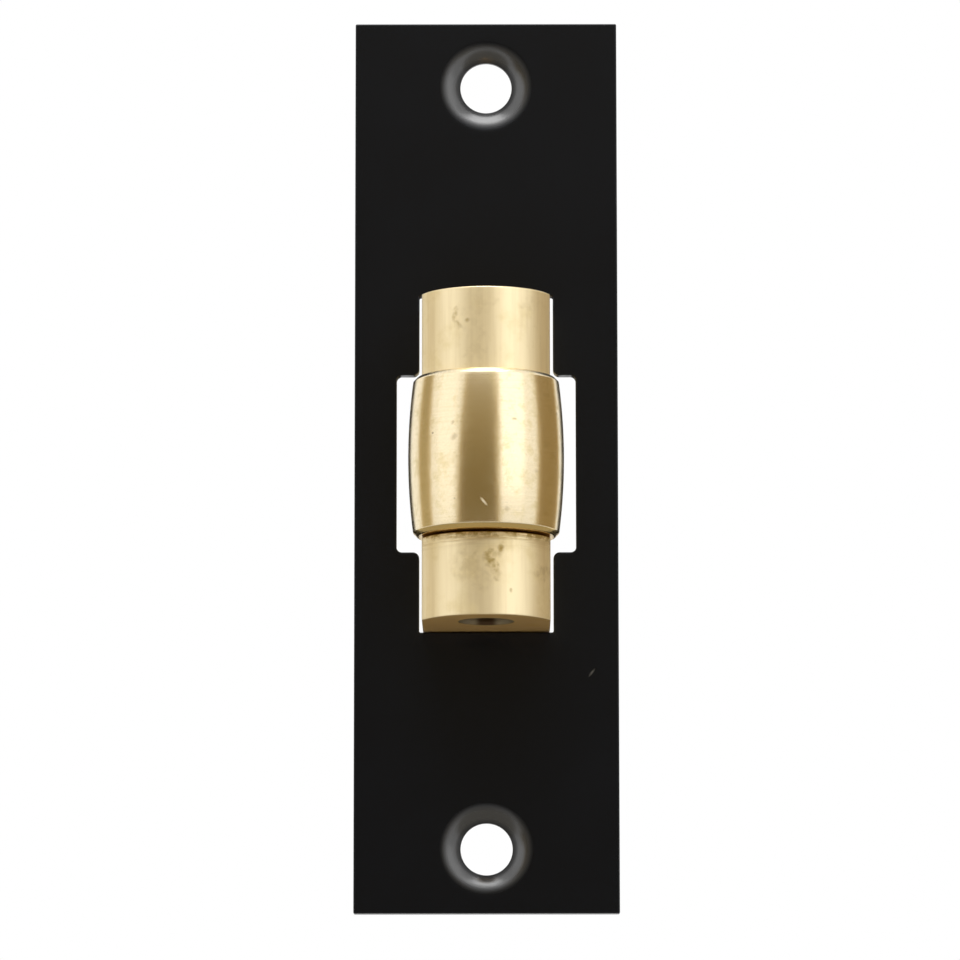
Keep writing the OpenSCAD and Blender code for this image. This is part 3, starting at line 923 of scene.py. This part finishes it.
def makeGuideRod(side):
    name = "guide_rod_" + side
    low, high = nodeBox(name)
    middle, radius = (low + high) / 2, (high[0] - low[0]) / 2
    angle = np.linspace(0, 2 * math.pi, 48, endpoint=False)
    plain = np.linspace(low[1] + 0.3, rod["threadFrom"], 12)[:-1]
    y = np.concatenate([plain, np.arange(rod["threadFrom"], high[1], rod["pitch"] / 9), high[1:2]])
    # the thread is a triangle wave of the height less one pitch for each turn, and it runs in
    # and out smoothly
    phase = (y[:, None] / rod["pitch"] - angle / (2 * math.pi)) % 1
    groove = np.clip(1.15 - np.abs(phase * 2 - 1) * 1.3, 0, 1)
    start = np.clip((y - rod["threadFrom"]) / rod["pitch"], 0, 1)[:, None]
    r = radius - rod["depth"] * groove * start
    ends = np.minimum(y - low[1] + radius - rod["chamfer"], high[1] - y + radius - rod["chamfer"])
    r = np.minimum(r, ends[:, None])
    skin = np.stack([r * np.cos(angle), y[:, None] + 0 * r, r * np.sin(angle)], -1)
    caps = [np.stack([0 * angle, 0 * angle + h, 0 * angle], -1)[None] for h in (low[1] + 0.3, high[1])]
    skin = np.concatenate([caps[0], skin, caps[1]]) + [middle[0], 0, middle[2]]
    mesh = surfaceMesh("guide rod", [(skin, False, True)])
    return finishPiece(
        "guideRod_" + side, mesh, brightSteel, "bolt", [name], sharpAngle=50
    )


# Springs: round wire wound on a helix, closed and ground flat at both ends
spring = {"wire": 0.8, "turns": 11, "travel": 13.0, "ringsPerTurn": 40, "sides": 14}


def makeSpring(side):
    name = "spring_" + side
    low, high = nodeBox(name)
    middle = (low + high) / 2
    wire, turns, length = spring["wire"], spring["turns"], high[1] - low[1]
    coil = (high[0] - low[0] - wire) / 2
    turn = np.linspace(0, turns, turns * spring["ringsPerTurn"] + 1)
    # height of the wire's middle: one pitch of a wire's width in each end turn, even between
    first, last = wire * (0.25 + turn), length - wire * (0.25 + turns - turn)
    even = wire * 1.25 + (length - 2.5 * wire) * (turn - 1) / (turns - 2)
    height = np.where(turn <= 1, first, np.where(turn >= turns - 1, last, even))
    spin = np.linspace(0, 2 * math.pi, spring["sides"], endpoint=False)
    radius = coil + wire / 2 * np.cos(spin)[None]
    y = np.clip(height[:, None] + wire / 2 * np.sin(spin)[None], 0, length)
    angle = (2 * math.pi * turn)[:, None]
    skin = np.stack([radius * np.cos(angle), y, radius * np.sin(angle)], -1)
    caps = [np.repeat(skin[k].mean(0)[None, None], skin.shape[1], 1) for k in (0, -1)]
    skin = np.concatenate([caps[0], skin, caps[1]]) + [middle[0], low[1], middle[2]]
    mesh = surfaceMesh("spring", [(skin, False, True)])
    piece = finishPiece("coilSpring_" + side, mesh, wireSteel, "frame", [name], 60)
    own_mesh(piece)
    return piece


# Washers and nuts: stamped washers, and hexagon nuts with turned corners and a chamfered bore
washer = {"soften": 0.2, "bore": 2.02}
nut = {"corner": 48, "bore": 2.02, "boreMouth": 0.4}


def makeWasher(side):
    name = "washer_" + side
    low, high = nodeBox(name)
    middle, radius = (low + high) / 2, (high[0] - low[0]) / 2
    bore, half = washer["bore"], (high[1] - low[1]) / 2
    corners = [[bore, -half], [radius, -half], [radius, half], [bore, half]]
    profile = roundedLine(corners, [0.05, 0.08, washer["soften"], 0.12], 5)
    mesh = surfaceMesh("washer", [turnedSurface(profile, middle, "y", 72, closed=True)])
    return finishPiece("washerDisc_" + side, mesh, zinc, "bolt", [name])


def makeNut(kind, side, bothFaces):
    name = kind + "_" + side
    low, high = nodeBox(name)
    middle, thick = (low + high) / 2, high[1] - low[1]
    flat = (high[2] - low[2]) / 2
    angle = np.linspace(0, 2 * math.pi, 144, endpoint=False)
    # Hexagon in polar form, with flats square to Z: flat / (sum of cos^p to the six flats)^(1/p).
    # A large p leaves the corners only slightly rounded.
    toFlats = angle[:, None] - math.pi / 2 - np.arange(6) * math.pi / 3
    power = nut["corner"]
    hexagon = flat / (np.maximum(np.cos(toFlats), 0) ** power).sum(1) ** (1 / power)
    hexagon *= flat / hexagon.min()
    drop = (hexagon - flat) * math.tan(math.radians(30))
    ring = 0 * angle
    mouth, bore = nut["boreMouth"], nut["bore"]
    rows = [
        (bore + ring, thick / 2 + ring),
        (bore + ring, thick - mouth + ring),
        (bore + mouth + ring, thick + ring),
        (flat * 0.985 + ring, thick + ring),
        (hexagon, thick - drop - 0.02),
        (hexagon, thick - drop - 0.3),
    ]
    if bothFaces:
        rows += [(hexagon, drop + 0.3), (hexagon, drop + 0.02), (flat * 0.985 + ring, ring)]
    else:
        rows += [(hexagon, 0.3 + ring), (hexagon, 0.05 + ring), (hexagon - 0.06, ring)]
    rows += [(bore + mouth + ring, ring), (bore + ring, mouth + ring)]
    radius, y = (np.stack([row[k] for row in rows]) for k in (0, 1))
    skin = np.stack([radius * np.cos(angle), y, radius * np.sin(angle)], -1)
    skin = skin + [middle[0], low[1], middle[2]]
    mesh = surfaceMesh("nut", [(skin, True, True)])
    return finishPiece(name + "_hex", mesh, zinc, "bolt", [name], 28)


for side in ("upper", "lower"):
    makeGuideRod(side)
    makeSpring(side)
    makeWasher(side)
    makeNut("stop_nut", side, False)
    makeNut("lock_nut", side, True)
print("rods, springs, washers and nuts made")


# Studio: a white room, a pale floor well below the part, soft lamps, and dark cards that give the
# brass its bands. The cards and lamps show in reflections and never to the camera.
studio = {
    "floorZ": -200.0,
    "cards": [
        # azimuths of both sides at the foot, then at the head, in degrees from the camera's side,
        # and the colours at the foot and the head
        ((-47.5, 18.5, -28.5, 13.5), "#786740", "#9c8b65"),
        ((85, 133, 85, 133), "#937e55", "#937e55"),
        ((-115, -93.5, -115, -93.5), "#ae9e75", "#a08f66"),
    ],
    # each card has a warm rim a little behind it, so the bands end in gold
    "rimWide": 3.0,
    "rimBehind": 6.0,
    "rimFoot": "#bd9e45",
    "rimHead": "#c9ac5c",
    "padRadius": 430.0,
    "padColour": "#a39e94",
    "distance": 800.0,
    "foot": -200.0,
    "head": 390.0,
    "fadeFrom": -20.0,
    "fadeTo": 330.0,
}


def glowMaterial(name, colour=None, colourOf=None):
    # plain light of one colour, or of the colour that colourOf gives for the new tree
    material = bpy.data.materials.new(name)
    material.use_nodes = True
    tree = material.node_tree
    tree.nodes.clear()
    glow = addNode(tree, "ShaderNodeEmission", {"Strength": 1.0})
    if colourOf:
        tree.links.new(colourOf(tree), glow.inputs["Color"])
    else:
        glow.inputs["Color"].default_value = colour
    addNode(tree, "ShaderNodeOutputMaterial", None, {"Surface": glow.outputs[0]})
    return material


def makeCard(name, azimuths, foot, head, distance):
    # an upright strip of a cylinder round the part, whose glow turns from foot into head
    startFoot, stopFoot, startHead, stopHead = azimuths
    share = np.linspace(0, 1, 25)
    start, stop = np.array([[startFoot], [startHead]]), np.array([[stopFoot], [stopHead]])
    azimuth = np.radians(start + (stop - start) * share)
    level = np.array([[studio["foot"]], [studio["head"]]]) + 0 * azimuth
    x, y = distance * np.sin(azimuth), -distance * np.cos(azimuth)
    mesh = surfaceMesh("card", [(np.stack([x, y, level], -1), False, False)])

    def fading(tree):
        place = addNode(tree, "ShaderNodeTexCoord").outputs["Object"]
        height = addNode(tree, "ShaderNodeSeparateXYZ", None, {0: place}).outputs["Z"]
        rise = banded(tree, height, studio["fadeFrom"] * mm, studio["fadeTo"] * mm)
        return blended(tree, rise, linearColour(foot), linearColour(head))

    mesh.materials.append(glowMaterial(name + " glow", colourOf=fading))
    card = bpy.data.objects.new(name, mesh)
    bpy.context.scene.collection.objects.link(card)
    card.visible_camera = False


def makePad():
    # a dull round pad just above the floor, which the brass shows where it faces down
    angle = np.linspace(0, 2 * math.pi, 48, endpoint=False)
    radius = np.array([[0.0], [studio["padRadius"]]])
    level = 0 * radius + studio["floorZ"] + 5
    disc = np.stack([radius * np.cos(angle), radius * np.sin(angle), level + 0 * angle], -1)
    mesh = surfaceMesh("pad", [(disc, False, True)])
    mesh.materials.append(glowMaterial("dull pad", linearColour(studio["padColour"])))
    pad = bpy.data.objects.new("dullPad", mesh)
    bpy.context.scene.collection.objects.link(pad)
    pad.visible_camera = pad.visible_diffuse = pad.visible_shadow = False


def makeFloor():
    size = 6000.0
    corners = np.array([[-1, -1], [1, -1]]) * size, np.array([[-1, 1], [1, 1]]) * size
    grid = np.stack([np.concatenate([c, np.full((2, 1), studio["floorZ"])], 1) for c in corners])
    mesh = surfaceMesh("floor", [(grid, False, False)])
    material = bpy.data.materials.new("pale floor")
    material.use_nodes = True
    tree = material.node_tree
    tree.nodes.clear()
    matt = addNode(tree, "ShaderNodeBsdfDiffuse", {"Color": linearColour("#f4f3f0")})
    white = addNode(tree, "ShaderNodeEmission", {"Color": (1, 1, 1, 1), "Strength": 1.0})
    rays = addNode(tree, "ShaderNodeLightPath")
    mirrored = calculated(
        tree, "MAXIMUM", rays.outputs["Is Glossy Ray"], rays.outputs["Is Transmission Ray"]
    )
    # half of what the camera sees is plain white, and four fifths of what the metal shows
    share = calculated(tree, "MULTIPLY", mirrored, 0.8)
    share = calculated(tree, "MULTIPLY_ADD", rays.outputs["Is Camera Ray"], 0.5, share)
    mixed = addNode(
        tree, "ShaderNodeMixShader", None, {0: share, 1: matt.outputs[0], 2: white.outputs[0]}
    )
    addNode(tree, "ShaderNodeOutputMaterial", None, {"Surface": mixed.outputs[0]})
    mesh.materials.append(material)
    floor = bpy.data.objects.new("floor", mesh)
    bpy.context.scene.collection.objects.link(floor)


def makeWorld():
    # white to the camera, glossy and transmission rays, and a plain grey fill to all others
    world = bpy.data.worlds.new("white room")
    world.use_nodes = True
    bpy.context.scene.world = world
    tree = world.node_tree
    tree.nodes.clear()
    rays = addNode(tree, "ShaderNodeLightPath")
    seen = calculated(
        tree,
        "MAXIMUM",
        rays.outputs["Is Camera Ray"],
        calculated(tree, "MAXIMUM", rays.outputs["Is Glossy Ray"], rays.outputs["Is Transmission Ray"]),
    )
    strength = calculated(tree, "MULTIPLY_ADD", seen, 0.65, 0.35)
    back = addNode(
        tree, "ShaderNodeBackground", {"Color": (1, 1, 1, 1)}, {"Strength": strength}
    )
    addNode(tree, "ShaderNodeOutputWorld", None, {"Surface": back.outputs[0]})


def addLamp(name, azimuth, elevation, distance, size, radiance, colour=(1, 1, 1)):
    # an area lamp aimed at the part; its power is radiance times pi times its area
    lamp = bpy.data.lights.new(name, "AREA")
    lamp.shape, lamp.size, lamp.size_y = "RECTANGLE", size[0] * mm, size[1] * mm
    lamp.energy = radiance * math.pi * lamp.size * lamp.size_y
    lamp.color = colour
    a, e = math.radians(azimuth), math.radians(elevation)
    away = np.array([math.sin(a) * math.cos(e), -math.cos(a) * math.cos(e), math.sin(e)])
    holder = bpy.data.objects.new(name, lamp)
    holder.location = (away * distance * mm).tolist()
    holder.rotation_euler = (math.pi / 2 - e, 0, a)
    holder.visible_camera = False
    bpy.context.scene.collection.objects.link(holder)


def addCamera():
    # placed by fitting the plate's corners, holes and opening to the photograph
    view = {
        "at": (1.307, -546.065, -87.08),
        "turned": (98.921, 0.0375, 0.2059),
        "lens": 218.107,
    }
    camera = bpy.data.cameras.new("camera")
    camera.lens, camera.sensor_width = view["lens"], 36
    camera.clip_start, camera.clip_end = 0.01, 50
    holder = bpy.data.objects.new("camera", camera)
    holder.location = [c * mm for c in view["at"]]
    holder.rotation_euler = [math.radians(c) for c in view["turned"]]
    bpy.context.scene.collection.objects.link(holder)
    bpy.context.scene.camera = holder


for number, (azimuths, foot, head) in enumerate(studio["cards"]):
    makeCard("studioCard%d" % number, azimuths, foot, head, studio["distance"])
    wider = np.array(azimuths) + studio["rimWide"] * np.array([-1, 1, -1, 1])
    behind = studio["distance"] + studio["rimBehind"]
    makeCard("studioRim%d" % number, wider, studio["rimFoot"], studio["rimHead"], behind)
makeFloor()
makePad()
makeWorld()
addLamp("key at the right", 40, 20, 780, (520, 560), 0.45)
addLamp("fill at the left", -60, 15, 780, (420, 600), 0.15)
addLamp("top", 0, 75, 600, (420, 500), 3.6)
addLamp("front above", 4, 47, 700, (520, 240), 1.2)
addCamera()
bpy.context.scene.view_settings.view_transform = "Standard"
print("studio ready")
